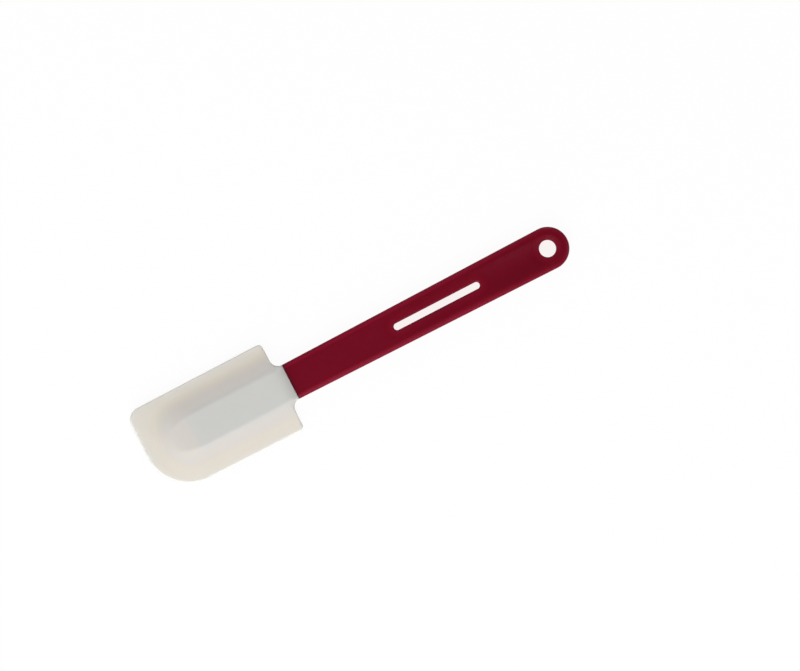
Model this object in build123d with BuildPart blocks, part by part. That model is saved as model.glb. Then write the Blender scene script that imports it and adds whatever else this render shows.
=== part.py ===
from build123d import *

import os

os.makedirs("parts", exist_ok=True)

# Silicone spatula: a soft blade cast over the tang of a stiff nylon handle.
# X runs towards the hang hole, Y towards the blade's square tip corner, and Z through the thickness.
# The origin is the middle of the tool. All lengths are millimetres.

# Lengths along the tool
blade_length = 81.9
neck_length = 4.85
grip_length = 167.25

# Blade outline, seen from above
blade_shoulder_width = 51.6
blade_tip_width = 51.0
square_corner_radius = 7.2
swept_corner_radius = 24.2
shoulder_corner_radius = 2.5
neck_fillet_radius = 4.8

# Blade relief, the same on both faces
middle_thickness = 9.4
border_thickness = 2.6
rim_thickness = 1.8
rim_radius = 0.8
rim_width = 1.6
crest_radius = 3.0
middle_width = 18.2
middle_start = 33.4
nose_start = 19.1
nose_flat_width = 2.0
border_width = 4.4
flank_start = 7.0
flank_corner_radius = 16.6
nose_fall = 1.1
nose_fall_length = 18.3
neck_fall_length = 7.6

# Handle
handle_thickness = 6.4
seam_width = 20.5
seam_edge_radius = 2.2
end_width = 23.4
end_edge_radius = 3.0
hang_hole_diameter = 9.3
hang_hole_edge_break = 0.4
slot_length = 51.7
slot_width = 3.8
slot_edge_radius = 0.9
slot_from_seam = 62.65

# Tang and its keys
tang_length = 55.0
tang_width = 14.0
tang_thickness = 3.4
tang_corner_radius = 5.0
key_hole_diameter = 6.0
key_hole_pitch = 15.0
key_hole_count = 3
first_key_share = 0.75
bond_line = 0.05

# Every cut runs this far past what it cuts
overrun = 4.0

# A round edge takes at most this share of the wall that it is on
wall_share = 0.94

# Places along X
tool_length = blade_length + neck_length + grip_length
tip_x = -tool_length / 2
shoulder_x = tip_x + blade_length
seam_x = shoulder_x + neck_length
end_x = tool_length / 2
end_centre_x = end_x - end_width / 2
slot_centre_x = seam_x + slot_from_seam + slot_length / 2
blade_back_x = seam_x - bond_line

# Heights above the middle plane
middle_height = middle_thickness / 2
border_height = border_thickness / 2
rim_height = rim_thickness / 2
neck_height = handle_thickness / 2
tang_height = tang_thickness / 2
nose_height = middle_height - nose_fall

# Round edges, each limited by its wall
rim_round = min(rim_radius, wall_share * rim_height)
neck_fillet = min(neck_fillet_radius, neck_length)
seam_edge_round = min(seam_edge_radius, wall_share * neck_height)
end_edge_round = min(end_edge_radius, wall_share * neck_height)

key_hole_xs = []
for key_number in range(key_hole_count):
    key_hole_xs.append(seam_x - tang_length + key_hole_pitch * (key_number + first_key_share))


def border_outline(height, inset):
    """The blade's outer edge, or a line inside it: straight sides and two unlike tip corners."""
    front_x = tip_x + inset
    back_x = seam_x + overrun
    side_slope = (blade_shoulder_width - blade_tip_width) / blade_length
    front_side = blade_tip_width / 2 - inset
    back_side = blade_tip_width / 2 + side_slope * (back_x - tip_x) / 2 - inset
    with BuildSketch(Plane.XY.offset(height)) as outline:
        with BuildLine():
            Polyline(
                (back_x, back_side),
                (front_x, front_side),
                (front_x, -front_side),
                (back_x, -back_side),
                close=True,
            )
        make_face()
        square_corner = vertices().group_by(Axis.X)[0].sort_by(Axis.Y)[-1]
        fillet(square_corner, square_corner_radius - inset)
        swept_corner = vertices().group_by(Axis.X)[0].sort_by(Axis.Y)[0]
        fillet(swept_corner, swept_corner_radius - inset)
    return outline.sketch


def round_ended_outline(height, half_width, corner_x, low_x, flat_half_width):
    """Parallel sides run on past the seam, and an end of two quarter ellipses with a flat between them."""
    back_x = seam_x + overrun
    corner_length = corner_x - low_x
    corner_depth = half_width - flat_half_width
    with BuildSketch(Plane.XY.offset(height)) as outline:
        with BuildLine():
            Line((back_x, half_width), (corner_x, half_width))
            EllipticalCenterArc((corner_x, flat_half_width), corner_length, corner_depth, 90)
            Line((low_x, flat_half_width), (low_x, -flat_half_width))
            EllipticalCenterArc((corner_x, -flat_half_width), corner_length, corner_depth, 180)
            Line((corner_x, -half_width), (back_x, -half_width))
            Line((back_x, -half_width), (back_x, half_width))
        make_face()
    return outline.sketch


def flank_outline(height):
    """Where the flanks run out into the thin border."""
    low_x = tip_x + flank_start
    half_width = blade_tip_width / 2 - border_width
    corner_radius = min(flank_corner_radius, wall_share * half_width)
    return round_ended_outline(height, half_width, low_x + corner_radius, low_x, half_width - corner_radius)


def middle_outline(height):
    """The top of the thick middle, which the flanks start from."""
    corner_x = tip_x + middle_start
    return round_ended_outline(height, middle_width / 2, corner_x, tip_x + nose_start, nose_flat_width / 2)


def side_outline():
    """The blade from the side: a level middle, a low nose at one end and the seam's height at the other."""
    low_x = tip_x - overrun
    high_x = seam_x + overrun
    nose_x = tip_x + middle_start - nose_fall_length
    fall_x = tip_x + middle_start
    neck_fall_x = seam_x - neck_fall_length
    with BuildSketch(Plane.XZ) as outline:
        with BuildLine():
            Polyline((low_x, 0), (low_x, nose_height), (nose_x, nose_height))
            TangentArc((fall_x, middle_height), (nose_x, nose_height), tangent=(-1, 0))
            Line((fall_x, middle_height), (neck_fall_x, middle_height))
            TangentArc((neck_fall_x, middle_height), (seam_x, neck_height), tangent=(1, 0))
            Polyline((seam_x, neck_height), (high_x, neck_height), (high_x, 0), (low_x, 0))
        make_face()
        mirror(about=Plane.XZ)
    return outline.sketch


def shoulder_outline():
    """What is cut away behind the square shoulders, with their round corners and the neck's fillets."""
    side = blade_shoulder_width / 2
    neck_side = seam_width / 2
    corner_side = side - shoulder_corner_radius
    corner_x = shoulder_x - shoulder_corner_radius
    far_side = side + overrun
    back_x = seam_x + overrun
    with BuildSketch() as outline:
        with BuildLine():
            Polyline((back_x, neck_side), (shoulder_x, neck_side), (shoulder_x, corner_side))
            RadiusArc((shoulder_x, corner_side), (corner_x, side), -shoulder_corner_radius)
            Polyline((corner_x, side), (corner_x, far_side), (back_x, far_side), (back_x, neck_side))
        make_face()
        neck_corner = vertices().group_by(Axis.Y)[0].sort_by(Axis.X)[0]
        fillet(neck_corner, neck_fillet)
        mirror(about=Plane.XZ)
    return outline.sketch


def tang_outline(allowance):
    """The flat tang, run on into the handle, larger all round by the allowance."""
    with BuildSketch() as outline:
        with Locations((seam_x + overrun, 0)):
            Rectangle(
                tang_length + allowance + overrun, tang_width + 2 * allowance, align=(Align.MAX, Align.CENTER)
            )
        fillet(vertices().group_by(Axis.X)[0], tang_corner_radius + allowance)
    return outline.sketch


def half_section(x, width, edge_round, inner_side):
    """The bar's section with rounded edges, from a given distance off the centreline outwards."""
    with BuildSketch(Plane.YZ.offset(x)) as section:
        RectangleRounded(width, handle_thickness, edge_round)
        with Locations((inner_side, 0)):
            Rectangle(width, handle_thickness, align=(Align.MAX, Align.CENTER), mode=Mode.SUBTRACT)
    return section.sketch


# Handle: a flat bar with rounded edges, which widens to a round end.
with BuildPart() as handle:
    # Its two rounded sides, and the flat middle between them.
    seam_flat_side = seam_width / 2 - seam_edge_round
    end_flat_side = end_width / 2 - end_edge_round
    loft(
        [
            half_section(seam_x, seam_width, seam_edge_round, seam_flat_side),
            half_section(end_centre_x, end_width, end_edge_round, end_flat_side),
        ],
        ruled=True,
    )
    mirror(about=Plane.XZ)
    with BuildSketch():
        with BuildLine():
            Polyline(
                (seam_x, seam_flat_side),
                (end_centre_x, end_flat_side),
                (end_centre_x, -end_flat_side),
                (seam_x, -seam_flat_side),
                close=True,
            )
        make_face()
    extrude(amount=neck_height, both=True)

    # The round end is half of the end section, turned about the hang hole's axis.
    end_section = half_section(end_centre_x, end_width, end_edge_round, 0)
    revolve(end_section, axis=Axis((end_centre_x, 0, 0), (0, 0, 1)), revolution_arc=-180)

    # Hang hole, concentric with the round end, with its edges broken.
    with Locations((end_centre_x, 0, 0)):
        Hole(hang_hole_diameter / 2)
    chamfer(edges(Select.NEW), hang_hole_edge_break)

    # Long slot.
    with BuildSketch():
        with Locations((slot_centre_x, 0)):
            SlotOverall(slot_length, slot_width)
    extrude(amount=handle_thickness, both=True, mode=Mode.SUBTRACT)
    fillet(edges(Select.NEW), slot_edge_radius)

    # Tang, with its keying holes.
    with BuildSketch():
        add(tang_outline(0))
        with Locations([(x, 0) for x in key_hole_xs]):
            Circle(key_hole_diameter / 2, mode=Mode.SUBTRACT)
    extrude(amount=tang_height, both=True)
handle.part.label = "handle"
export_step(handle.part, "parts/handle.step")

# What rounds the neck down to the handle's own section at the seam, and fades out towards the shoulders.
with BuildPart() as neck_trim:
    with BuildSketch(Plane.YZ.offset(shoulder_x)):
        Rectangle(blade_shoulder_width, middle_thickness + overrun)
    extrude(amount=neck_length)
    with BuildSketch(Plane.YZ.offset(shoulder_x)):
        RectangleRounded(blade_shoulder_width, middle_thickness + overrun, seam_edge_round)
    with BuildSketch(Plane.YZ.offset(seam_x)):
        RectangleRounded(seam_width, handle_thickness, seam_edge_round)
    loft(ruled=True, mode=Mode.SUBTRACT)

# Blade: a thin plate with a round rim, and nested outlines joined into flat-topped relief on both its faces.
with BuildPart() as blade:
    extrude(border_outline(0, 0), amount=rim_height, both=True)
    fillet(edges().group_by(Axis.Z)[0] + edges().group_by(Axis.Z)[-1], rim_round)
    loft(
        [
            middle_outline(-middle_height),
            flank_outline(-border_height),
            border_outline(-rim_height, rim_width),
            border_outline(rim_height, rim_width),
            flank_outline(border_height),
            middle_outline(middle_height),
        ],
        ruled=True,
    )

    # The middle falls away at both ends, and the crest all round it is softened.
    extrude(side_outline(), amount=blade_shoulder_width, both=True, mode=Mode.INTERSECT)
    top_faces = faces().filter_by(lambda face: abs(face.center().Z) > nose_height)
    crest = top_faces.edges().filter_by(Axis.Y, reverse=True)
    fillet(crest, crest_radius)

    # Square shoulders, and the neck trimmed to the handle's section where it meets the handle.
    extrude(shoulder_outline(), amount=middle_height, both=True, mode=Mode.SUBTRACT)
    split(bisect_by=Plane.YZ.offset(blade_back_x), keep=Keep.BOTTOM)
    add(neck_trim.part, mode=Mode.SUBTRACT)

    # Pocket for the tang, and the pillars through its keying holes.
    with BuildSketch():
        add(tang_outline(bond_line))
    extrude(amount=tang_height + bond_line, both=True, mode=Mode.SUBTRACT)
    with BuildSketch():
        with Locations([(x, 0) for x in key_hole_xs]):
            Circle(key_hole_diameter / 2 - bond_line)
    extrude(amount=tang_height + bond_line, both=True)
blade.part.label = "blade"
export_step(blade.part, "parts/blade.step")
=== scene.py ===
import math

import bmesh
import bpy
import numpy as np
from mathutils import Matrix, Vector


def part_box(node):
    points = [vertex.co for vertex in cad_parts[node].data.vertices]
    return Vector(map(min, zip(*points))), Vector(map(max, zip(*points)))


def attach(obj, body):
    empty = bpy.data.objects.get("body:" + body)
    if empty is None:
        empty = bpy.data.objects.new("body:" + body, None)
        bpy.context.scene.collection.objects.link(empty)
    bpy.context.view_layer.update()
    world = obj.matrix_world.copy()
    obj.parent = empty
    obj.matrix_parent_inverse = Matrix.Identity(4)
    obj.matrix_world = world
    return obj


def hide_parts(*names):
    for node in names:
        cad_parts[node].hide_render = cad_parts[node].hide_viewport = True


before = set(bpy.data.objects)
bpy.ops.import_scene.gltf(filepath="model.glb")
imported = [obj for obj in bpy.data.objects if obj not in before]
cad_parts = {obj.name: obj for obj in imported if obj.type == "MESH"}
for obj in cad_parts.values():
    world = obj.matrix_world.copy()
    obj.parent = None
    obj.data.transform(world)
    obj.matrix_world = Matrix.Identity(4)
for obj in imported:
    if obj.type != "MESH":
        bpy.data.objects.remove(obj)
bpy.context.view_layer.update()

# Handle: one moulding in dark red glass-filled nylon, a flat grip with round edges, a slot and a hang hole.
# Its tang, a flat tongue with three keying holes, runs on into the silicone and is hidden there.
# Each shell is a quarter surface, mirrored across the tool's two middle planes.
mm = 0.001
handle_low, handle_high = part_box("handle")
blade_low, blade_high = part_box("blade")
bond_line = 0.05 * mm
seam_x = blade_high.x + bond_line
seam_edge_break = 0.35 * mm
grip_seam_half_width = 10.25 * mm
grip_end_half_width = handle_high.y
grip_end_centre_x = handle_high.x - grip_end_half_width
grip_half_height = handle_high.z

# The band along the grip's edge is crowned and ends in a round corner.
grip_seam_band = 3.1 * mm
grip_end_band = 4.2 * mm
grip_band_fall = 0.45 * mm
grip_corner_radius = 1.2 * mm

# The face between the bands sinks a little towards the end.
face_sink = 0.8 * mm
face_sink_from_x = 50 * mm
face_sink_to_x = 100 * mm
face_sink_power = 1.3

# The slot and the hang hole have rounded edges.
slot_length = 51.7 * mm
slot_radius = 1.9 * mm
slot_edge_round = 0.9 * mm
slot_centre_x = 48.25 * mm
hang_hole_radius = 4.65 * mm
hang_hole_edge_round = 0.45 * mm

# Patches are joined where their points lie this close, and edges shorter than the least are taken out.
join_distance = 0.002 * mm
least_edge = 0.001 * mm
handle_sharp_angle = math.radians(34)


def smooth_step(share):
    """A share held between 0 and 1 and eased at both ends: three times its square, less twice its cube."""
    held = np.clip(share, 0, 1)
    return held**2 * (3 - 2 * held)


def quads_of(columns, rows):
    """Corner numbers of every cell of a grid whose points are stored column by column."""
    corners = np.arange(columns * rows).reshape(columns, rows)
    cells = [corners[:-1, :-1], corners[1:, :-1], corners[1:, 1:], corners[:-1, 1:]]
    return np.stack(cells, axis=-1)


def mirrored(patch, axis):
    """The patch on the other side of the middle plane across that axis, with its faces still outwards."""
    points, quads = patch
    flipped = points.copy()
    flipped[:, axis] *= -1
    return flipped, quads[:, ::-1]


def closed_piece(name, patches, sharp_angle):
    """Joins patches at their shared edges into one piece, smooth but for turns sharper than the angle."""
    patch_points, patch_quads = zip(*patches)
    starts = np.cumsum([0] + [len(points) for points in patch_points[:-1]])
    quads = np.concatenate([quads + start for quads, start in zip(patch_quads, starts)])
    mesh = bpy.data.meshes.new(name)
    mesh.from_pydata(np.concatenate(patch_points), [], quads)
    joined = bmesh.new()
    joined.from_mesh(mesh)
    bmesh.ops.remove_doubles(joined, verts=joined.verts, dist=join_distance)
    bmesh.ops.dissolve_degenerate(joined, edges=joined.edges, dist=least_edge)
    joined.to_mesh(mesh)
    joined.free()
    mesh.shade_smooth()
    mesh.set_sharp_from_angle(angle=sharp_angle)
    piece = bpy.data.objects.new(name, mesh)
    bpy.context.scene.collection.objects.link(piece)
    return piece


def opening_columns(first_x, last_x, radius, edge, spread, steps):
    """One side of a round-ended opening: half a turn about its end centres, parted by its straight side.
    Gives the wall's points, where its rounded edge ends, and the x at which each column meets the side."""
    turn = np.linspace(math.pi, math.pi / 2, steps)
    angles = np.concatenate([turn, math.pi - turn[::-1]])
    centres = np.repeat([first_x, last_x], steps)
    directions = np.stack([np.cos(angles), np.sin(angles)], axis=1)
    middle = np.stack([centres, np.zeros(2 * steps)], axis=1)
    side_x = centres + spread * np.cos(angles)
    return middle + radius * directions, middle + (radius + edge) * directions, side_x


def spine_columns(from_x, to_x, side_from_x, side_to_x, steps):
    """Columns of a stretch with no opening, which start on the centreline, where wall and edge are one."""
    spine = np.stack([np.linspace(from_x, to_x, steps), np.zeros(steps)], axis=1)
    return spine, spine, np.linspace(side_from_x, side_to_x, steps)


def edge_fall(reach, band_fall, corner_share, corner_height):
    """How far an edge lies below the face, by the share of its band's width from the face to the outline:
    the band falls with the share's square, and a quarter ellipse at its outer end turns it into the wall."""
    into_corner = np.clip((reach - 1 + corner_share) / corner_share, 0, 1)
    return band_fall * reach**2 + corner_height * (1 - np.sqrt(1 - into_corner**2))


# The rows over the flat face stand closer together beside its edges.
face_steps = 12
face_shares = np.concatenate([[0.01, 0.04], np.linspace(0, 1, face_steps)[1:-1], [0.96, 0.99]])


def plate_quarter(wall, wall_edge, side_edge, side, half_height, side_fall):
    """A quarter of a flat bar: across each column from the opening's wall, over its rounded edge, over the
    flat face and down the outer edge to the middle plane. The opening's edge is a quarter circle as wide as
    its plan, and the outer edge falls as given for the rows' sines from 0 to 1. Gives also which cells to
    keep: the wall and its edge only where there is an opening."""
    wall_round = np.linalg.norm(wall_edge - wall, axis=1)
    is_open = wall_round > 0
    arc = np.linspace(0, math.pi / 2, side_fall.shape[1])
    zero = np.zeros_like
    shares = np.concatenate([
        [[1, 0, 0, 0]],
        np.stack([np.cos(arc), 1 - np.cos(arc), zero(arc), zero(arc)], axis=1),
        np.stack([zero(face_shares), 1 - face_shares, face_shares, zero(face_shares)], axis=1),
        np.stack([zero(arc), zero(arc), 1 - np.sin(arc), np.sin(arc)], axis=1),
        [[0, 0, 0, 1]],
    ])
    inner_drop = np.concatenate([[0], 1 - np.sin(arc), zero(face_shares), zero(arc), [0]])
    plan = np.einsum("rk,kcp->crp", shares, np.stack([wall, wall_edge, side_edge, side]))
    height = half_height - np.outer(wall_round, inner_drop)
    height[:, -len(arc) - 1 : -1] -= side_fall
    height[:, -1] = 0
    height[is_open, 0] = 0
    points = np.concatenate([plan, height[:, :, None]], axis=2)
    kept = np.ones((len(wall) - 1, len(shares) - 1), bool)
    kept[:, : len(arc)] = (is_open[:-1] & is_open[1:])[:, None]
    return points, kept


# Columns round a broken edge.
cap_steps = 5


def end_cap(section, end_x, edge_break, half_size=None):
    """Columns that close a bar's end: its section rounds in by the edge break, then runs to the middle.
    The half size is given where the section is only a part of the bar's."""
    if half_size is None:
        half_size = np.abs(section[:, 1:]).max(axis=0)
    arc = np.linspace(0, math.pi / 2, cap_steps)[:, None, None]
    inward = edge_break * (1 - np.cos(arc))
    direction = np.sign(section[0, 0] - end_x)
    x = end_x + direction * edge_break * (1 - np.sin(arc)) + 0 * section[None, :, :1]
    rounded = np.concatenate([x, section[None, :, 1:] * (1 - inward / half_size)], axis=2)
    middle = np.zeros((1, len(section), 3))
    middle[:, :, 0] = end_x
    return np.concatenate([rounded, middle])


def grip_sizes(x):
    """The grip's half width and its band's width, which grow evenly from the seam to the end's centre."""
    along = np.clip((x - seam_x) / (grip_end_centre_x - seam_x), 0, 1)
    half_width = grip_seam_half_width + (grip_end_half_width - grip_seam_half_width) * along
    return half_width, grip_seam_band + (grip_end_band - grip_seam_band) * along


def grip_reach(x, y):
    """How far a point lies from the centreline, or past the end's centre from that centre, and how far the
    grip's outline and the inner limit of its band lie from there."""
    out = np.hypot(np.maximum(x - grip_end_centre_x, 0), y)
    outline, band = grip_sizes(x)
    return out, outline, outline - band


def sunk_face(points):
    """The grip with its face sunk a little, as thick mouldings sink while they cool: the depth grows by a
    smooth step along the grip, and across it with a power of one less the squared share of the way to the
    band."""
    out, outline, band_start = grip_reach(points[:, :, 0], points[:, :, 1])
    along = smooth_step((points[:, :, 0] - face_sink_from_x) / (face_sink_to_x - face_sink_from_x))
    across = np.clip(1 - (out / band_start) ** 2, 0, 1) ** face_sink_power
    sunk = points.copy()
    sunk[:, :, 2] *= 1 - face_sink * along * across / grip_half_height
    return sunk


def shell_patches(points, kept):
    """The quarter's kept cells and their mirror images in the other three quarters."""
    quads = quads_of(*points.shape[:2])[kept]
    quarter = (points.reshape(-1, 3), quads)
    upper = [quarter, mirrored(quarter, 1)]
    return upper + [mirrored(patch, 2) for patch in upper]


# The grip's columns run from the seam past the slot to the round end, and fan out from the openings.
slot_spread = 5.0 * mm
hole_spread = 15.0 * mm
hole_steps = 24
grip_start_x = seam_x + seam_edge_break
slot_first_x = slot_centre_x - slot_length / 2 + slot_radius
slot_last_x = slot_centre_x + slot_length / 2 - slot_radius
slot_edge_x = slot_radius + slot_edge_round
hole_edge_x = hang_hole_radius + hang_hole_edge_round
grip_stretches = [
    spine_columns(
        grip_start_x, slot_first_x - slot_edge_x, grip_start_x, slot_first_x - slot_spread, steps=40
    ),
    opening_columns(slot_first_x, slot_last_x, slot_radius, slot_edge_round, slot_spread, steps=14),
    spine_columns(
        slot_last_x + slot_edge_x, grip_end_centre_x - hole_edge_x,
        slot_last_x + slot_spread, grip_end_centre_x - hole_spread, steps=24,
    ),
    opening_columns(
        grip_end_centre_x, grip_end_centre_x, hang_hole_radius, hang_hole_edge_round, hole_spread, hole_steps
    ),
]
grip_wall, grip_wall_edge, grip_side_x = (np.concatenate(parts) for parts in zip(*grip_stretches))
grip_half_width, grip_band = grip_sizes(grip_side_x)
grip_side = np.stack([grip_side_x, grip_half_width], axis=1)
grip_side_edge = np.stack([grip_side_x, grip_half_width - grip_band], axis=1)

# Past the hang hole's middle the side follows the round end.
end_turn = np.linspace(math.pi / 2, 0, hole_steps)
end_direction = np.stack([np.cos(end_turn), np.sin(end_turn)], axis=1)
end_middle = np.array([grip_end_centre_x, 0])
grip_side[-hole_steps:] = end_middle + grip_end_half_width * end_direction
grip_side_edge[-hole_steps:] = end_middle + (grip_end_half_width - grip_end_band) * end_direction

# The outer edge has a row at each of these shares of its band, closer together towards the corner.
edge_steps = 17
edge_reach = np.sin(np.linspace(0, math.pi / 2, edge_steps))
grip_corner_share = grip_corner_radius / grip_band[:, None]
grip_fall = edge_fall(edge_reach, grip_band_fall, grip_corner_share, grip_corner_radius)
grip_points, grip_kept = plate_quarter(
    grip_wall, grip_wall_edge, grip_side_edge, grip_side, grip_half_height, grip_fall
)
grip_points = sunk_face(grip_points)
grip_cap = end_cap(grip_points[0], seam_x, seam_edge_break)[::-1]
grip_points = np.concatenate([grip_cap, grip_points[1:]])
grip_kept = np.concatenate([np.repeat(grip_kept[:1], len(grip_cap) - 1, axis=0), grip_kept])

# The tang's columns fan out round its square tip and its keying holes, and its root ends inside the grip.
tang_half_width = 7.0 * mm
tang_half_height = 1.7 * mm
tang_corner_radius = 5.0 * mm
tang_edge_round = 0.2 * mm
tang_root_length = 2.0 * mm
tang_fan_length = 4.0 * mm
key_hole_radius = 3.0 * mm
key_hole_pitch = 15.0 * mm
key_hole_count = 3
key_hole_spread = 6.5 * mm
first_key_hole_from_tip = 11.25 * mm
tang_tip_x = handle_low.x
tang_root_x = seam_x + tang_root_length
tang_fan_x = tang_tip_x + tang_fan_length
key_hole_edge_x = key_hole_radius + tang_edge_round
key_hole_xs = tang_tip_x + first_key_hole_from_tip + key_hole_pitch * np.arange(key_hole_count)
tang_corner_steps = 12
corner_turn = np.linspace(math.pi, math.pi / 2, tang_corner_steps)
corner_direction = np.stack([np.cos(corner_turn), np.sin(corner_turn)], axis=1)
corner_middle = np.array([tang_tip_x + tang_corner_radius, tang_half_width - tang_corner_radius])
tip_side = np.concatenate([[[tang_tip_x, 0]], corner_middle + tang_corner_radius * corner_direction])
tip_spine = np.stack([np.full(len(tip_side), tang_fan_x), np.zeros(len(tip_side))], axis=1)
tang_stretches = [(tip_spine, tip_spine, tip_side[:, 0])]
last_x, last_side_x = tang_fan_x, tang_tip_x + tang_corner_radius
for hole_x in key_hole_xs:
    tang_stretches.append(
        spine_columns(last_x, hole_x - key_hole_edge_x, last_side_x, hole_x - key_hole_spread, steps=4)
    )
    tang_stretches.append(
        opening_columns(hole_x, hole_x, key_hole_radius, tang_edge_round, key_hole_spread, steps=12)
    )
    last_x, last_side_x = hole_x + key_hole_edge_x, hole_x + key_hole_spread
tang_stretches.append(spine_columns(last_x, tang_root_x, last_side_x, tang_root_x, steps=6))
tang_wall, tang_wall_edge, tang_side_x = (np.concatenate(parts) for parts in zip(*tang_stretches))
tang_side = np.stack([tang_side_x, np.full(len(tang_side_x), tang_half_width)], axis=1)
tang_side[: len(tip_side)] = tip_side
inward = np.tile([0.0, -1.0], (len(tang_side_x), 1))
inward[: len(tip_side)] = np.concatenate([[[1, 0]], -corner_direction])
tang_reach = edge_reach[::4]
tang_fall = np.tile(edge_fall(tang_reach, 0, 1, tang_edge_round), (len(tang_side_x), 1))
tang_points, tang_kept = plate_quarter(
    tang_wall, tang_wall_edge, tang_side + tang_edge_round * inward, tang_side, tang_half_height, tang_fall
)
tang_cap = end_cap(tang_points[-1], tang_root_x, tang_edge_round)
tang_points = np.concatenate([tang_points[:-1], tang_cap])
tang_kept = np.concatenate([tang_kept, np.repeat(tang_kept[-1:], len(tang_cap) - 1, axis=0)])

handle_patches = shell_patches(grip_points, grip_kept) + shell_patches(tang_points, tang_kept)
handle = closed_piece("nylon_handle", handle_patches, handle_sharp_angle)

# Painted light: the nylon's colour is brighter at its thin edges, less at the end than at the seam, and
# round its openings, standing in for light that passes through them.
painted_light_band_share = 1.15
painted_light_end_share = 0.28
painted_light_opening_share = 0.25
painted_light_opening_reach = 6.5 * mm
seam_shade_reach = 1.3 * mm
end_shade_share = 0.15
end_shade_from_x = 55 * mm
end_shade_to_x = 95 * mm


def places_on(piece):
    """The three coordinates of the piece's points, each as one array."""
    places = np.zeros(len(piece.data.vertices) * 3)
    piece.data.vertices.foreach_get("co", places)
    return places.reshape(-1, 3).T


def store_on(piece, name, values):
    """Stores one value for each of the piece's points, for its material to read."""
    piece.data.attributes.new(name, "FLOAT", "POINT").data.foreach_set("value", values)


def tell_painted_light_and_shade(piece):
    """Stores the painted edge light, which brightens the colour where thin edges would let light through: 1
    at the outline, falling by a smooth step in plan to nothing a little past the band, and fading evenly
    along the grip to its share at the end. Round the slot and the hang hole it is weaker and falls evenly.
    Stores
    also the painted shade: it dies away from the seam, and the flat face gets a little darker towards the
    end."""
    x, y = places_on(piece)[:2]
    out, outline, band_start = grip_reach(x, y)
    along = np.clip((x - seam_x) / (grip_end_centre_x - seam_x), 0, 1)
    on_face = smooth_step((outline - out) / (outline - band_start) / painted_light_band_share)
    painted_edge_light = (1 - on_face) * (1 - (1 - painted_light_end_share) * along)
    past_slot = np.maximum(np.abs(x - slot_centre_x) - slot_length / 2 + slot_radius, 0)
    off_slot = np.hypot(past_slot, y) - slot_radius
    off_hole = np.hypot(x - grip_end_centre_x, y) - hang_hole_radius
    off_opening = np.maximum(np.minimum(off_slot, off_hole), 0)
    painted_opening_light = painted_light_opening_share * (1 - off_opening / painted_light_opening_reach)
    store_on(piece, "painted_edge_light", np.maximum(painted_edge_light, painted_opening_light))
    # Painted shade beside the seam and on the flat face towards the end.
    seam_shade = np.exp(-np.maximum(x - seam_x, 0) / seam_shade_reach)
    towards_end = np.clip((x - end_shade_from_x) / (end_shade_to_x - end_shade_from_x), 0, 1)
    store_on(piece, "painted_shade", seam_shade + end_shade_share * towards_end * on_face)


def new_material(name):
    """An empty node material: its node tree and its output node."""
    material = bpy.data.materials.new(name)
    material.use_nodes = True
    material.node_tree.nodes.clear()
    return material, material.node_tree, material.node_tree.nodes.new("ShaderNodeOutputMaterial")


def noise_on(tree, scale, detail, roughness):
    """A noise in the piece's own coordinates, in features per metre."""
    place = tree.nodes.new("ShaderNodeTexCoord")
    noise = tree.nodes.new("ShaderNodeTexNoise")
    noise.inputs["Scale"].default_value = scale
    noise.inputs["Detail"].default_value = detail
    noise.inputs["Roughness"].default_value = roughness
    tree.links.new(place.outputs["Object"], noise.inputs["Vector"])
    return noise.outputs["Fac"]


# Nearly all of a noise lies between these two values.
noise_low = 0.3
noise_high = 0.7


def spread_noise(tree, noise, low, high):
    """Spreads a noise from its own range over another."""
    node = tree.nodes.new("ShaderNodeMapRange")
    node.inputs["From Min"].default_value = noise_low
    node.inputs["From Max"].default_value = noise_high
    node.inputs["To Min"].default_value = low
    node.inputs["To Max"].default_value = high
    tree.links.new(noise, node.inputs["Value"])
    return node.outputs["Result"]


def stored_value(tree, name):
    """The value that was stored at the piece's points under that name."""
    node = tree.nodes.new("ShaderNodeAttribute")
    node.attribute_name = name
    return node.outputs["Fac"]


def colour_stops(tree, value, stops):
    """A smooth run of colours along a value, from its stops."""
    ramp = tree.nodes.new("ShaderNodeValToRGB")
    while len(ramp.color_ramp.elements) < len(stops):
        ramp.color_ramp.elements.new(1)
    for element, (place, colour) in zip(ramp.color_ramp.elements, stops):
        element.position = place
        element.color = (*colour, 1)
    tree.links.new(value, ramp.inputs["Fac"])
    return ramp.outputs["Color"]


def darkened(tree, colour, tint, amount):
    """The colour times the tint, by as much of it as the amount says."""
    mix = tree.nodes.new("ShaderNodeMix")
    mix.data_type = "RGBA"
    mix.blend_type = "MULTIPLY"
    mix.inputs["B"].default_value = (*tint, 1)
    tree.links.new(amount, mix.inputs["Factor"])
    tree.links.new(colour, mix.inputs["A"])
    return mix.outputs["Result"]


def grain_of(tree, noise, strength, distance):
    """The surface's direction, roughened by a noise."""
    grain = tree.nodes.new("ShaderNodeBump")
    grain.inputs["Strength"].default_value = strength
    grain.inputs["Distance"].default_value = distance
    tree.links.new(noise, grain.inputs["Height"])
    return grain.outputs["Normal"]


# The nylon's colours by its painted edge light, with a faint painted dark line near the band's inner foot,
# # and the tints of its clouds and its painted shade.
nylon_painted_light_stops = [
    (0.00, (0.192, 0.0030, 0.0163)),
    (0.08, (0.190, 0.0020, 0.0135)),
    (0.35, (0.257, 0.0060, 0.0260)),
    (0.65, (0.270, 0.0058, 0.0280)),
    (1.00, (0.252, 0.0046, 0.0260)),
]
nylon_cloud_tint = (0.93, 0.90, 0.92)
painted_shade_tint = (0.45, 0.45, 0.45)


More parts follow.
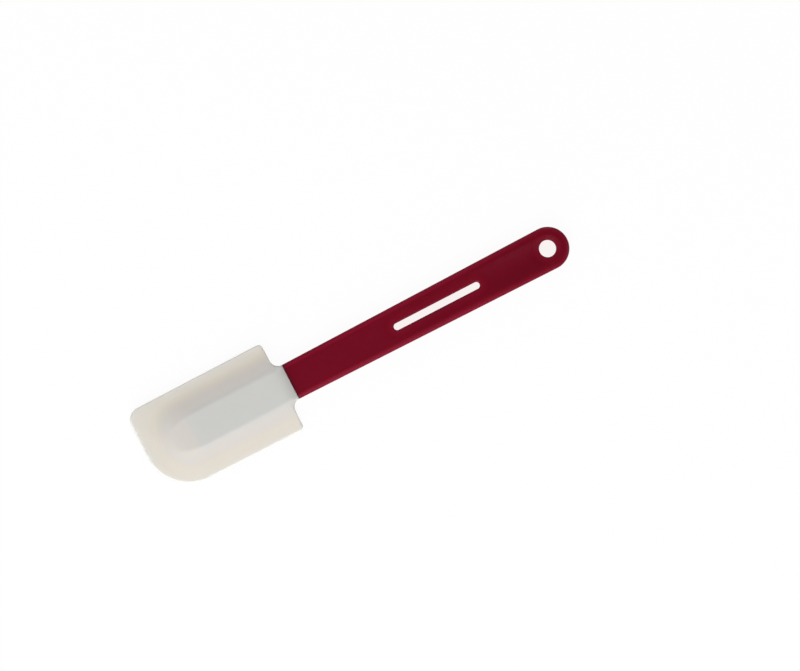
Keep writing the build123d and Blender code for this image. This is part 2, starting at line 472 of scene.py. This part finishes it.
def red_nylon():
    """Dark red nylon, coloured in the mass, with painted light: brighter at the rounded edges and round the
    openings, where thin nylon would let light through, and painted shade by the seam and towards the end;
    with faint clouds from the moulding's flow, and a smooth, lightly glossy skin with a very fine grain."""
    material, tree, output = new_material("red_nylon")
    shader = tree.nodes.new("ShaderNodeBsdfPrincipled")
    shader.inputs["Specular IOR Level"].default_value = 0.15
    # Painted light: the base colour brightens with the stored painted edge light.
    body = colour_stops(tree, stored_value(tree, "painted_edge_light"), nylon_painted_light_stops)
    clouds = spread_noise(tree, noise_on(tree, scale=35, detail=3, roughness=0.5), low=0, high=1)
    clouded = darkened(tree, body, nylon_cloud_tint, clouds)
    # Painted shade: darker beside the seam and on the flat face towards the end.
    shaded = darkened(tree, clouded, painted_shade_tint, stored_value(tree, "painted_shade"))
    gloss = spread_noise(tree, noise_on(tree, scale=260, detail=4, roughness=0.6), low=0.29, high=0.35)
    fine_noise = noise_on(tree, scale=2600, detail=2, roughness=0.5)
    tree.links.new(shaded, shader.inputs["Base Color"])
    tree.links.new(gloss, shader.inputs["Roughness"])
    tree.links.new(grain_of(tree, fine_noise, strength=0.03, distance=0.02 * mm), shader.inputs["Normal"])
    tree.links.new(shader.outputs["BSDF"], output.inputs["Surface"])
    return material


tell_painted_light_and_shade(handle)
handle.data.materials.append(red_nylon())
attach(handle, "root")
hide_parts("handle")

# Blade: one moulding in translucent white silicone, cast over the tang and through its keying holes.
# It is thick over the tang, and its flanks thin out to a flexible border with a soft round rim.
# The upper half is worked out from nested outlines and mirrored in the middle plane.
blade_length = 81.9 * mm
tip_x = blade_low.x
shoulder_x = tip_x + blade_length
shoulder_half_width = blade_high.y
tip_half_width = 25.5 * mm
square_corner_radius = 7.2 * mm
swept_corner_radius = 24.2 * mm
shoulder_corner_radius = 2.5 * mm
shoulder_edge_round = 0.8 * mm
blade_sharp_angle = math.radians(40)

# The border thins out to the rim, which rounds in to the middle plane.
border_half_height = 1.3 * mm
rim_start_half_height = 0.9 * mm
rim_width = 0.9 * mm

# The thick middle ends in a flat nose towards the tip, which falls a little.
middle_half_height = blade_high.z
middle_half_width = 9.1 * mm
middle_end_from_tip = 33.4 * mm
spine_end_from_tip = 27.0 * mm
crest_end_from_tip = 19.1 * mm
crest_flat_half_width = 1.0 * mm
nose_fall = 1.1 * mm
nose_fall_length = 18.3 * mm

# The flank runs straight down from the crest, then eases to a share of its slope at its foot.
flank_half_width = 20.7 * mm
flank_end_from_tip = 7.0 * mm
flank_corner_radius = 16.6 * mm
flank_straight_share = 0.5
flank_foot_slope_share = 0.6
crest_softness = 1.1 * mm
crease_softness = 1.2 * mm

# The neck falls to the grip's height, and its crest comes in to the grip's flat face.
neck_half_width = grip_seam_half_width
neck_fillet_radius = 4.8 * mm
neck_fall_length = 6.5 * mm
neck_edge_break = 0.1 * mm
crest_inset_length = 4.0 * mm
crest_inset_from_x = shoulder_x - crest_inset_length


def crest_inset(x):
    """How far the crest has come in from the middle's full width: none at first, then by a smooth step as
    far as the grip's flat face at the seam."""
    along = (x - crest_inset_from_x) / (seam_x - crest_inset_from_x)
    return (middle_half_width - grip_seam_half_width + grip_seam_band) * smooth_step(along)


def side_half_height(x):
    """The middle's half height along the tool: level, with circular falls to the nose and to the seam."""
    nose_radius = (nose_fall_length**2 + nose_fall**2) / (2 * nose_fall)
    past_nose = np.clip(tip_x + middle_end_from_tip - x, 0, nose_fall_length)
    neck_fall = middle_half_height - grip_half_height
    neck_radius = (neck_fall_length**2 + neck_fall**2) / (2 * neck_fall)
    past_neck = np.clip(x - (seam_x - neck_fall_length), 0, neck_fall_length)
    nose_drop = nose_radius - np.sqrt(nose_radius**2 - past_nose**2)
    neck_drop = neck_radius - np.sqrt(neck_radius**2 - past_neck**2)
    return middle_half_height - nose_drop - neck_drop


def soft_lower(first, second, softness):
    """The lower of two heights, blended by a parabola where they differ by less than the softness."""
    near = np.clip(1 - np.abs(first - second) / softness, 0, 1)
    return np.minimum(first, second) - near**2 * softness / 4


def relief_half_height(x, past_crest, crest_to_flank, past_flank, flank_to_rim):
    """The blade's half height: the level middle, the flank that falls from its crest, and the border, with
    soft blends between them. Distances are in plan, from the crest and from the flank's foot, and are
    negative inside them."""
    past_crest = past_crest + crest_inset(x)
    crest_to_flank = crest_to_flank + crest_inset(x)
    drop = middle_half_height - border_half_height
    foot_share = 1 - flank_straight_share
    mean_slope_share = 1 - foot_share * (1 - flank_foot_slope_share) / 2
    crest_slope = drop / (crest_to_flank * mean_slope_share)
    along = past_crest / crest_to_flank
    past_straight = np.clip(along - flank_straight_share, 0, foot_share)
    eased = np.minimum(along, 1) - (1 - flank_foot_slope_share) * past_straight**2 / (2 * foot_share)
    flank = middle_half_height - crest_slope * crest_to_flank * eased
    foot_slope = crest_slope * flank_foot_slope_share
    flank = flank - foot_slope * np.maximum(past_flank, 0)
    border_slope = (border_half_height - rim_start_half_height) / flank_to_rim
    border = border_half_height - border_slope * past_flank
    crease = crease_softness * (foot_slope - border_slope)
    sides = -soft_lower(-flank, -border, crease)
    return soft_lower(side_half_height(x), sides, crest_softness * crest_slope)


def plan_point(x, y):
    """Plan points from their two coordinates, spread to one length."""
    return np.stack(np.broadcast_arrays(x, y), axis=-1)


# Columns round the shoulder's corner.
shoulder_steps = 8


def side_run(corner_radius, side_steps, corner_steps):
    """One side's five nested lines, from the shoulder's round corner along the side and round the tip's:
    spine, crest, flank foot, rim start and outline."""
    turn = np.linspace(0, math.pi / 2, shoulder_steps + 1)[:-1]
    corner_x = shoulder_x - shoulder_corner_radius
    corner_y = shoulder_half_width - shoulder_corner_radius
    inner_x = corner_x + (shoulder_corner_radius - shoulder_edge_round) * np.cos(turn)
    inner_y = corner_y + (shoulder_corner_radius - rim_width) * np.sin(turn)
    outer_x = corner_x + shoulder_corner_radius * np.cos(turn)
    outer_y = corner_y + shoulder_corner_radius * np.sin(turn)
    shoulder = [
        plan_point(inner_x, 0),
        plan_point(inner_x, middle_half_width),
        plan_point(inner_x, flank_half_width),
        plan_point(inner_x, inner_y),
        plan_point(outer_x, outer_y),
    ]
    share = np.linspace(0, 1, side_steps)[:-1]
    middle_x = corner_x + (tip_x + middle_end_from_tip - corner_x) * share
    flank_x = corner_x + (tip_x + flank_end_from_tip + flank_corner_radius - corner_x) * share
    side_x = corner_x + (tip_x + corner_radius - corner_x) * share
    side_y = shoulder_half_width + (tip_half_width - shoulder_half_width) * share
    side = [
        plan_point(middle_x, 0),
        plan_point(middle_x, middle_half_width),
        plan_point(flank_x, flank_half_width),
        plan_point(side_x, side_y - rim_width),
        plan_point(side_x, side_y),
    ]
    turn = np.linspace(0, math.pi / 2, corner_steps)
    across, along = np.cos(turn), np.sin(turn)
    middle_x = tip_x + middle_end_from_tip
    spine_x = middle_x - (middle_end_from_tip - spine_end_from_tip) * along
    crest_x = middle_x - (middle_end_from_tip - crest_end_from_tip) * along
    crest_y = crest_flat_half_width + (middle_half_width - crest_flat_half_width) * across
    flank_x = tip_x + flank_end_from_tip + flank_corner_radius * (1 - along)
    flank_y = flank_half_width - flank_corner_radius * (1 - across)
    rim_radius = corner_radius - rim_width
    rim_x, rim_y = tip_x + corner_radius, tip_half_width - corner_radius
    corner = [
        plan_point(spine_x, 0),
        plan_point(crest_x, crest_y),
        plan_point(flank_x, flank_y),
        plan_point(rim_x - rim_radius * along, rim_y + rim_radius * across),
        plan_point(rim_x - corner_radius * along, rim_y + corner_radius * across),
    ]
    return np.stack([np.concatenate(lines) for lines in zip(shoulder, side, corner)])


other_side = np.array([1, -1])
square_side = side_run(square_corner_radius, side_steps=72, corner_steps=40)
swept_side = (side_run(swept_corner_radius, side_steps=72, corner_steps=56) * other_side)[:, ::-1]
tip_steps = 26
tip_share = np.linspace(0, 1, tip_steps)[1:-1, None]
tip_run = square_side[:, None, -1] * (1 - tip_share) + swept_side[:, None, 0] * tip_share
lines = np.concatenate([square_side, tip_run, swept_side], axis=1)

# Rows run from the spine over the crest, the flank and the border to where the rim starts to round.
fillet_start_y = neck_half_width + neck_fillet_radius
fillet_share = (fillet_start_y - middle_half_width) / (flank_half_width - middle_half_width)
top_shares = np.array([0, 0.25, 0.5, 0.7, 0.8, 0.86, 0.9, 0.925, 0.95, 0.975])
flank_steps = 41
flank_shares = np.sort(np.append(np.linspace(0, 1, flank_steps)[:-1], fillet_share))
border_shares = np.array([0, 0.06, 0.12, 0.2, 0.3, 0.45, 0.6, 0.8, 1])
zones = []
for number, shares in enumerate((top_shares, flank_shares, border_shares)):
    inner, outer = lines[number][:, None], lines[number + 1][:, None]
    zones.append(inner + (outer - inner) * shares[:, None])
relief_plan = np.concatenate(zones, axis=1)
top_length, flank_length, border_length = np.linalg.norm(lines[1:4] - lines[0:3], axis=2)[:, :, None]
rows = np.concatenate([top_shares - 1, flank_shares, 1 + border_shares])
past_crest = np.where(rows < 0, rows * top_length, np.minimum(rows, 1) * flank_length)
past_flank = np.where(rows < 1, past_crest - flank_length, (rows - 1) * border_length)
relief_height = relief_half_height(relief_plan[:, :, 0], past_crest, flank_length, past_flank, border_length)
relief = np.concatenate([relief_plan, relief_height[:, :, None]], axis=2)

# The neck carries the rows inside its fillets on to the seam, and draws them in.
neck_rows = len(top_shares) + int(np.searchsorted(flank_shares, fillet_share)) + 1
neck_end_x = blade_high.x - neck_edge_break
fillet_x = shoulder_x + neck_fillet_radius
last_turn = math.acos(max(fillet_x - neck_end_x, 0) / neck_fillet_radius)
fillet_steps = 24
fillet_turn = np.linspace(0, last_turn, fillet_steps)[:-1]
neck_blend = (1 - np.cos(2 * fillet_turn)) / 2
neck_band = shoulder_edge_round + (grip_seam_band - shoulder_edge_round) * neck_blend
fillet_inner = plan_point(
    fillet_x - (neck_fillet_radius + neck_band) * np.cos(fillet_turn),
    fillet_start_y - (neck_fillet_radius + neck_band) * np.sin(fillet_turn),
)
fillet_outer = plan_point(
    fillet_x - neck_fillet_radius * np.cos(fillet_turn),
    fillet_start_y - neck_fillet_radius * np.sin(fillet_turn),
)
neck_inner = np.concatenate([fillet_inner, [[neck_end_x, neck_half_width - grip_seam_band]]])
neck_outer = np.concatenate([fillet_outer, [[neck_end_x, neck_half_width]]])
neck_blend = np.append(neck_blend, 1)
neck_band = np.append(neck_band, grip_seam_band)
start_y = relief_plan[0, :neck_rows, 1]
neck_plan = plan_point(neck_inner[:, 0][:, None], start_y * neck_inner[:, 1][:, None] / fillet_start_y)


def side_relief(plan):
    """The half height at plan points beside the blade's straight flanks, on the side of positive y."""
    past_crest = plan[..., 1] - middle_half_width
    crest_to_flank = flank_half_width - middle_half_width
    flank_to_rim = shoulder_half_width - rim_width - flank_half_width
    past_flank = past_crest - crest_to_flank
    return relief_half_height(plan[..., 0], past_crest, crest_to_flank, past_flank, flank_to_rim)


neck = np.concatenate([neck_plan, side_relief(neck_plan)[:, :, None]], axis=2)

# The outline's edge runs once round from the seam to the seam. At the seam it has the grip's own section.
rim_inner = relief[:, -1]
rim_blend = np.ones(len(rim_inner))
rim_blend[:shoulder_steps] = np.sin(np.linspace(0, math.pi / 2, shoulder_steps + 1)[:-1])
rim_blend[-shoulder_steps:] = rim_blend[:shoulder_steps][::-1]
rim_drop = shoulder_edge_round + (rim_inner[:, 2] - shoulder_edge_round) * rim_blend
rim_drop = np.minimum(rim_drop, rim_inner[:, 2])
neck_side = [
    neck[::-1, -1],
    neck_outer[::-1],
    grip_band_fall * neck_blend[::-1],
    1 - (1 - grip_corner_radius / neck_band[::-1]) * neck_blend[::-1],
    shoulder_edge_round + (grip_corner_radius - shoulder_edge_round) * neck_blend[::-1],
]
shoulder_inner = relief[0, neck_rows:-1]
shoulder_side = [
    shoulder_inner,
    plan_point(shoulder_x, shoulder_inner[:, 1]),
    np.zeros(len(shoulder_inner)),
    np.ones(len(shoulder_inner)),
    np.minimum(shoulder_edge_round, shoulder_inner[:, 2]),
]
first_side = [np.concatenate(parts) for parts in zip(neck_side, shoulder_side)]
last_side = [first_side[0] * [1, -1, 1], first_side[1] * other_side] + first_side[2:]
rim = [rim_inner, lines[4], np.zeros(len(rim_inner)), np.ones(len(rim_inner)), rim_drop]
edge_stretches = zip(first_side, rim, [values[::-1] for values in last_side])
edge_inner, edge_outer, edge_band_fall, edge_corner_share, edge_corner_height = (
    np.concatenate(stretch) for stretch in edge_stretches
)
edge_plan = edge_inner[:, None, :2] + (edge_outer - edge_inner[:, :2])[:, None] * edge_reach[:, None]
fall = edge_fall(
    edge_reach, edge_band_fall[:, None], edge_corner_share[:, None], edge_corner_height[:, None]
)

# Round the neck's fillets the edge goes on down the flank. Only at the seam is it the grip's own level band.
on_flank_power = 4
neck_on_flank = 1 - neck_blend**on_flank_power
on_flank = np.zeros(len(edge_inner))
on_flank[: len(neck_blend)] = neck_on_flank[::-1]
on_flank[-len(neck_blend) :] = neck_on_flank
flank_plan = np.stack([edge_plan[:, :, 0], np.abs(edge_plan[:, :, 1])], axis=2)
flank_fall = np.maximum(edge_inner[:, 2:] - side_relief(flank_plan), 0)
edge_height = edge_inner[:, 2:] - on_flank[:, None] * flank_fall - fall
edge = np.concatenate([edge_plan, edge_height[:, :, None]], axis=2)
wall_foot = edge[:, -1:] * [1, 1, 0]
edge = np.concatenate([edge, wall_foot], axis=1)


def patch_of(points):
    """A grid of points as a patch, with its faces on the side that its columns and rows turn towards."""
    return points.reshape(-1, 3), quads_of(*points.shape[:2]).reshape(-1, 4)


def capped(points):
    """The grid with its last column carried round the seam's broken edge and in to the middle."""
    neck_size = np.array([neck_half_width, grip_half_height])
    return np.concatenate([points[:-1], end_cap(points[-1], blade_high.x, neck_edge_break, neck_size)])


relief_patch = patch_of(relief[::-1])
neck_patch = patch_of(capped(neck))
edge_patch = patch_of(capped(capped(edge)[::-1]))
upper = [relief_patch, neck_patch, mirrored(neck_patch, 1), edge_patch]
blade = closed_piece("silicone_blade", upper + [mirrored(patch, 2) for patch in upper], blade_sharp_angle)

# What each reason adds to the painted light that stands for light the silicone lets through, and how far the
# reasons reach.
off_seam_share = 0.1
off_seam_reach = 2.5 * mm
clear_share = 0.3
clear_reach = 7.0 * mm
thin_share = 0.4
thin_start_share = 0.6
thin_span_share = 0.5
rim_share = 0.2
clear_power = 3


def tell_painted_light_through(piece):
    """Stores the painted light that stands for light the silicone lets through, low as painted shade by the
    seam, as a sum: off the seam, by an exponential rise; clear of the tang, by a smooth step in plan; where
    the flank has thinned, by a smooth step in its height; and evenly from the border to the rim. The last
    two grow with a power of how clear the place is."""
    x, y, z = places_on(piece)
    beyond_tip = np.maximum(tang_tip_x - x, 0)
    beyond_side = np.maximum(np.abs(y) - tang_half_width, 0)
    clear = smooth_step(np.hypot(beyond_tip, beyond_side) / clear_reach)
    thinned = (middle_half_height - np.abs(z)) / (middle_half_height - border_half_height)
    thin = smooth_step((thinned - thin_start_share) / thin_span_share) * clear**clear_power
    past_border = (border_half_height - np.abs(z)) / (border_half_height - rim_start_half_height)
    rim = np.clip(past_border, 0, 1) * clear**clear_power
    off_seam = 1 - np.exp(-(blade_high.x - x) / off_seam_reach)
    through = off_seam_share * off_seam + clear_share * clear + thin_share * thin + rim_share * rim
    store_on(piece, "painted_light_through", through)


# The silicone's colours by its painted light, darkest as painted shade at the seam.
silicone_painted_light_stops = [
    (0.00, (0.672, 0.668, 0.648)),
    (0.10, (0.747, 0.747, 0.725)),
    (0.40, (0.790, 0.753, 0.712)),
    (0.60, (0.822, 0.777, 0.696)),
    (0.80, (0.855, 0.810, 0.737)),
    (1.00, (0.848, 0.825, 0.775)),
]


def white_silicone():
    """Translucent white silicone: neutral over the tang, with painted light making it creamier and lighter
    where it thins out, and a satin skin.
    """
    material, tree, output = new_material("white_silicone")
    shader = tree.nodes.new("ShaderNodeBsdfPrincipled")
    shader.inputs["Specular IOR Level"].default_value = 0.18
    shader.inputs["Subsurface Weight"].default_value = 1.0
    shader.inputs["Subsurface Radius"].default_value = (1.0, 0.92, 0.85)
    shader.inputs["Subsurface Scale"].default_value = 1.5 * mm
    # Painted light: the base colour lightens where the stored painted light through is high.
    body = colour_stops(tree, stored_value(tree, "painted_light_through"), silicone_painted_light_stops)
    satin = spread_noise(tree, noise_on(tree, scale=180, detail=4, roughness=0.6), low=0.40, high=0.48)
    fine_noise = noise_on(tree, scale=1800, detail=3, roughness=0.55)
    tree.links.new(body, shader.inputs["Base Color"])
    tree.links.new(satin, shader.inputs["Roughness"])
    tree.links.new(grain_of(tree, fine_noise, strength=0.08, distance=0.03 * mm), shader.inputs["Normal"])
    tree.links.new(shader.outputs["BSDF"], output.inputs["Surface"])
    return material


tell_painted_light_through(blade)
blade.data.materials.append(white_silicone())
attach(blade, "root")
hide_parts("blade")

# Floor: a plain white sheet that the tool lies on, bright enough to pass for paper and still shaded beneath.
# Where it shows through the slot and the hang hole, it has a faint rosy tint, painted light that stands for
# light bounced off their red walls.
floor_half_size = 3.0
floor_gap = 0.05 * mm
floor_z = blade_low.z - floor_gap
tint_margin = 1.0 * mm
tint_half_width = hang_hole_radius + tint_margin
tint_from_x = slot_centre_x - slot_length / 2 - tint_margin
tint_to_x = grip_end_centre_x + tint_half_width
floor_points = [
    (-floor_half_size, -floor_half_size, floor_z),
    (floor_half_size, -floor_half_size, floor_z),
    (floor_half_size, floor_half_size, floor_z),
    (-floor_half_size, floor_half_size, floor_z),
    (tint_from_x, -tint_half_width, floor_z),
    (tint_to_x, -tint_half_width, floor_z),
    (tint_to_x, tint_half_width, floor_z),
    (tint_from_x, tint_half_width, floor_z),
]
floor_faces = [(4, 5, 6, 7), (0, 1, 5, 4), (1, 2, 6, 5), (2, 3, 7, 6), (3, 0, 4, 7)]
floor_mesh = bpy.data.meshes.new("floor")
floor_mesh.from_pydata(floor_points, [], floor_faces)
floor = bpy.data.objects.new("floor", floor_mesh)
bpy.context.scene.collection.objects.link(floor)

# What the camera sees of the paper is mostly a plain colour, and the rest is the lit sheet.
sheet_white = (0.85, 0.85, 0.85)
plain_white = (1, 1, 1)
# The rosy white is painted light bounced off the red walls of the slot and the hang hole.
painted_bounce_white = (0.980, 0.922, 0.915)
seen_share = 0.93
seen_strength = 1.02


def paper(name, seen_colour):
    """Paper: a diffuse sheet that shows its shadows, mixed with a plain colour for what the camera sees."""
    material, tree, output = new_material(name)
    sheet = tree.nodes.new("ShaderNodeBsdfDiffuse")
    sheet.inputs["Color"].default_value = (*sheet_white, 1)
    seen = tree.nodes.new("ShaderNodeEmission")
    seen.inputs["Color"].default_value = (*seen_colour, 1)
    seen.inputs["Strength"].default_value = seen_strength
    path = tree.nodes.new("ShaderNodeLightPath")
    share = tree.nodes.new("ShaderNodeMath")
    share.operation = "MULTIPLY"
    share.inputs[1].default_value = seen_share
    mix = tree.nodes.new("ShaderNodeMixShader")
    tree.links.new(path.outputs["Is Camera Ray"], share.inputs[0])
    tree.links.new(share.outputs[0], mix.inputs["Fac"])
    tree.links.new(sheet.outputs["BSDF"], mix.inputs[1])
    tree.links.new(seen.outputs["Emission"], mix.inputs[2])
    tree.links.new(mix.outputs["Shader"], output.inputs["Surface"])
    return material


# The patch under the openings gets the painted bounce light.
floor_mesh.materials.append(paper("painted_bounce_paper", painted_bounce_white))
floor_mesh.materials.append(paper("white_paper", plain_white))
floor_mesh.polygons.foreach_set("material_index", [0, 1, 1, 1, 1])

# Camera: straight above the tool, with a long lens, turned so that the handle rises to the picture's right.
photo_turn = math.radians(27.418)
view_centre = (23.43 * mm, -4.94 * mm)
view_width = 429.8 * mm
camera_height = 2.4
camera_data = bpy.data.cameras.new("camera")
camera_data.sensor_width = 36
camera_data.lens = camera_data.sensor_width * camera_height / view_width
camera_data.clip_end = 20
camera = bpy.data.objects.new("camera", camera_data)
camera.location = (*view_centre, camera_height)
camera.rotation_euler = (0, 0, -photo_turn)
bpy.context.scene.collection.objects.link(camera)
bpy.context.scene.camera = camera

# Light: a wide soft key from the picture's bottom, weaker panels from its other sides, and a pale room.
# Nothing bright hangs straight above, so that the handle's flat face mirrors only the dim room.
lamp_distance = 1.7


def soft_box(name, bearing, zenith, width, height, power):
    """A rectangular lamp aimed at the tool, placed by its bearing from the picture's bottom and its angle
    from straight above."""
    light_data = bpy.data.lights.new(name, "AREA")
    light_data.shape = "RECTANGLE"
    light_data.size = width
    light_data.size_y = height
    light_data.energy = power
    light = bpy.data.objects.new(name, light_data)
    heading = -math.pi / 2 - photo_turn + math.radians(bearing)
    slant = math.radians(zenith)
    light.location = (
        lamp_distance * math.sin(slant) * math.cos(heading),
        lamp_distance * math.sin(slant) * math.sin(heading),
        lamp_distance * math.cos(slant),
    )
    light.rotation_euler = (0, slant, heading)
    light.visible_camera = False
    bpy.context.scene.collection.objects.link(light)


soft_box("key_lamp", bearing=-6, zenith=62, width=2.8, height=1.2, power=39.8)
soft_box("fill_lamp", bearing=180, zenith=76, width=2.6, height=0.8, power=12.5)
soft_box("left_panel", bearing=-90, zenith=66, width=2.0, height=0.8, power=9)
soft_box("right_panel", bearing=90, zenith=66, width=2.0, height=0.8, power=7)

room_strength = 0.1
seen_room_strength = 1
world = bpy.data.worlds.new("pale_room")
bpy.context.scene.world = world
world.use_nodes = True
world.node_tree.nodes.clear()
room_output = world.node_tree.nodes.new("ShaderNodeOutputWorld")
room_path = world.node_tree.nodes.new("ShaderNodeLightPath")
room_mix = world.node_tree.nodes.new("ShaderNodeMixShader")
world.node_tree.links.new(room_path.outputs["Is Camera Ray"], room_mix.inputs["Fac"])
for number, strength in ((1, room_strength), (2, seen_room_strength)):
    room = world.node_tree.nodes.new("ShaderNodeBackground")
    room.inputs["Color"].default_value = (1, 1, 1, 1)
    room.inputs["Strength"].default_value = strength
    world.node_tree.links.new(room.outputs["Background"], room_mix.inputs[number])
world.node_tree.links.new(room_mix.outputs["Shader"], room_output.inputs["Surface"])
bpy.context.scene.view_settings.view_transform = "Standard"
